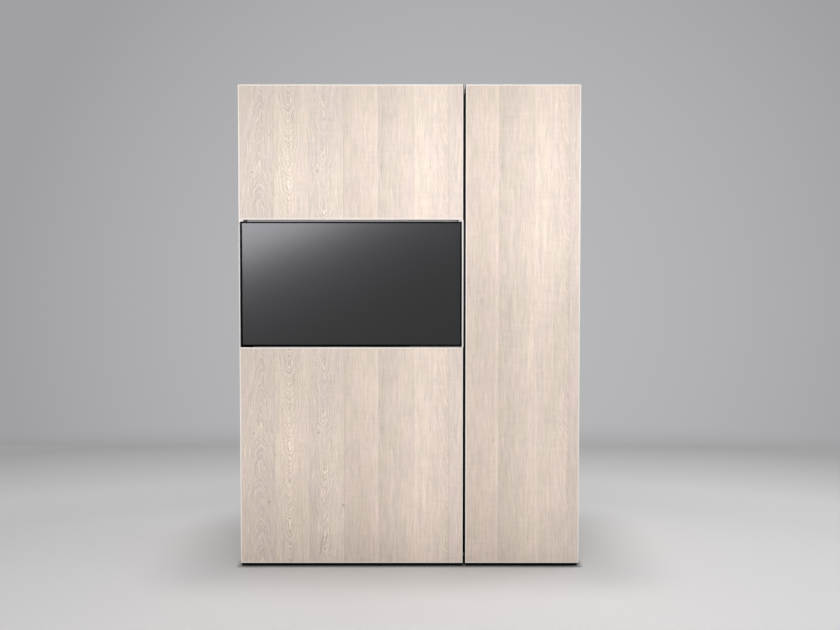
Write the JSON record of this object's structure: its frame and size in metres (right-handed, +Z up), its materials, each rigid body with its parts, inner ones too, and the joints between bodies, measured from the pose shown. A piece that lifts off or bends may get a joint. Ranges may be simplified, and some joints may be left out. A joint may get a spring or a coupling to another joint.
{
  "type": "kitchenette",
  "caption": "Closed-front kitchenette cabinet: wide hinged leaf with a flush screen and tall narrow leaf in pale oak, hiding sink, hob, hood and refrigerator.",
  "frame": {"origin": "middle of the footprint, on the floor", "axes": "+X to the right seen from the front, +Y to the back, +Z up; the fronts face -Y"},
  "size_m": [1.489, 0.69, 2.11],
  "materials": {
    "oak_front": "matt white-washed oak planks",
    "oak_carcass": "matt oak-faced board",
    "white_board": "satin white lacquered board",
    "worktop": "matt compact laminate",
    "splash": "satin wall panel",
    "sink_steel": "brushed",
    "trap_plastic": "moulded",
    "tap_chrome": "polished",
    "hob_glass": "black glass ceramic",
    "hob_steel": "zinc plated sheet",
    "knob_plastic": "satin",
    "track_aluminium": "anodised",
    "hood_steel": "powder coated",
    "blower_plastic": "moulded",
    "button_plastic": "satin",
    "hardware_steel": "nickel plated",
    "foot_plastic": "moulded",
    "socket_plastic": "glossy",
    "fridge_liner": "glossy",
    "fridge_glass": "clear toughened",
    "compressor_paint": "black stoved",
    "gasket_rubber": "soft",
    "bin_plastic": "translucent",
    "tray_metal": "white powder coat",
    "screen_plastic": "fine satin",
    "screen_glass": "glossy panel, switched off",
    "bracket_paint": "black powder coat"
  },
  "bodies": {
    "cabinet": {"side_panels": "oak_carcass", "partition": "oak_carcass", "top_panel": "oak_carcass", "bottom_panel": "oak_carcass", "levelling_feet": "foot_plastic", "back_panel": "white_board", "wall_brackets": "hardware_steel", "worktop": "worktop", "worktop_cleats": "oak_carcass", "splashback": "splash", "sink_bowl": "sink_steel", "sink_strainer": "sink_steel", "sink_trap": "trap_plastic", "tap_body": "tap_chrome", "hob_plate": "hob_glass", "hob_housing": "hob_steel", "sliding_door_tracks": "track_aluminium", "base_shelf": "oak_carcass", "wall_unit_boards": "oak_carcass", "strip_lamp": "track_aluminium", "wall_socket": "socket_plastic", "hood_casing": "hood_steel", "hood_blower": "blower_plastic", "fridge_cabinet": "fridge_liner", "fridge_shelves": "fridge_glass", "fridge_compressor": "compressor_paint", "larder_shelves": "oak_carcass", "shelf_pins": "hardware_steel", "hinge_frame_wings": "hardware_steel", "hinge_pins": "hardware_steel"},
    "left_leaf": {"left_leaf_frame": "white_board", "left_leaf_board": "white_board", "upper_front_panel": "oak_front", "lower_front_panel": "oak_front", "left_leaf_trays": "tray_metal", "left_hinge_leaf_wings": "hardware_steel", "screen_frame": "screen_plastic", "screen_display": "screen_glass", "screen_back_cover": "screen_plastic", "screen_bracket": "bracket_paint"},
    "right_leaf": {"right_leaf_frame": "white_board", "right_leaf_board": "white_board", "tall_front_panel": "oak_front", "right_leaf_trays": "tray_metal", "right_hinge_leaf_wings": "hardware_steel", "fridge_door": "fridge_liner", "fridge_gasket": "gasket_rubber", "fridge_door_bins": "bin_plastic"},
    "base_door_left": {"sliding_door_left": "oak_carcass"},
    "base_door_right": {"sliding_door_right": "oak_carcass"},
    "tap_spout": {"tap_spout": "tap_chrome"},
    "tap_lever": {"tap_lever": "tap_chrome"},
    "hob_knob_left": {"hob_knob_left": "knob_plastic"},
    "hob_knob_right": {"hob_knob_right": "knob_plastic"},
    "hood_visor": {"hood_visor": "track_aluminium", "hood_filter": "track_aluminium"},
    "hood_fan_button": {"hood_fan_button": "button_plastic"},
    "hood_light_button": {"hood_light_button": "button_plastic"},
    "screen_power_key": {"screen_power_key": "screen_plastic"},
    "fridge_dial": {"fridge_dial": "fridge_liner"}
  },
  "joints": [
    {"name": "left_leaf_swing", "type": "hinge", "parent": "cabinet", "child": "left_leaf", "pos_m": [-0.7365, -0.263, 1.0625], "axis": [0, 0, -1], "range_deg": [0, 105]},
    {"name": "right_leaf_swing", "type": "hinge", "parent": "cabinet", "child": "right_leaf", "pos_m": [0.7365, -0.263, 1.0625], "axis": [0, 0, 1], "range_deg": [0, 105]},
    {"name": "base_door_left_slide", "type": "slide", "parent": "cabinet", "child": "base_door_left", "axis": [1, 0, 0], "range_m": [0, 0.456]},
    {"name": "base_door_right_slide", "type": "slide", "parent": "cabinet", "child": "base_door_right", "axis": [-1, 0, 0], "range_m": [0, 0.456]},
    {"name": "tap_spout_swivel", "type": "hinge", "parent": "cabinet", "child": "tap_spout", "pos_m": [-0.4675, 0.271, 0.9933], "axis": [0, 0, 1], "range_deg": [-75, 75]},
    {"name": "tap_lever_tilt", "type": "hinge", "parent": "cabinet", "child": "tap_lever", "pos_m": [-0.4172, 0.271, 0.949], "axis": [1, 0, 0], "range_deg": [0, 70]},
    {"name": "hob_knob_left_turn", "type": "hinge", "parent": "cabinet", "child": "hob_knob_left", "pos_m": [-0.0145, -0.161, 0.906], "axis": [0, 0, -1], "range_deg": [0, 270]},
    {"name": "hob_knob_right_turn", "type": "hinge", "parent": "cabinet", "child": "hob_knob_right", "pos_m": [0.0955, -0.161, 0.906], "axis": [0, 0, -1], "range_deg": [0, 270]},
    {"name": "hood_visor_pull", "type": "slide", "parent": "cabinet", "child": "hood_visor", "axis": [0, -1, 0], "range_m": [0, 0.18]},
    {"name": "hood_fan_press", "type": "slide", "parent": "hood_visor", "child": "hood_fan_button", "axis": [0, 1, 0], "range_m": [0, 0.003], "stiffness_N_per_m": 300, "springref_m": -0.002},
    {"name": "hood_light_press", "type": "slide", "parent": "hood_visor", "child": "hood_light_button", "axis": [0, 1, 0], "range_m": [0, 0.003], "stiffness_N_per_m": 300, "springref_m": -0.002},
    {"name": "screen_power_press", "type": "slide", "parent": "left_leaf", "child": "screen_power_key", "axis": [0, 1, 0], "range_m": [0, 0.001], "stiffness_N_per_m": 200, "springref_m": -0.001},
    {"name": "fridge_dial_turn", "type": "hinge", "parent": "cabinet", "child": "fridge_dial", "pos_m": [0.4875, -0.0477, 1.196], "axis": [0, 0, 1], "range_deg": [0, 250]}
  ]
}
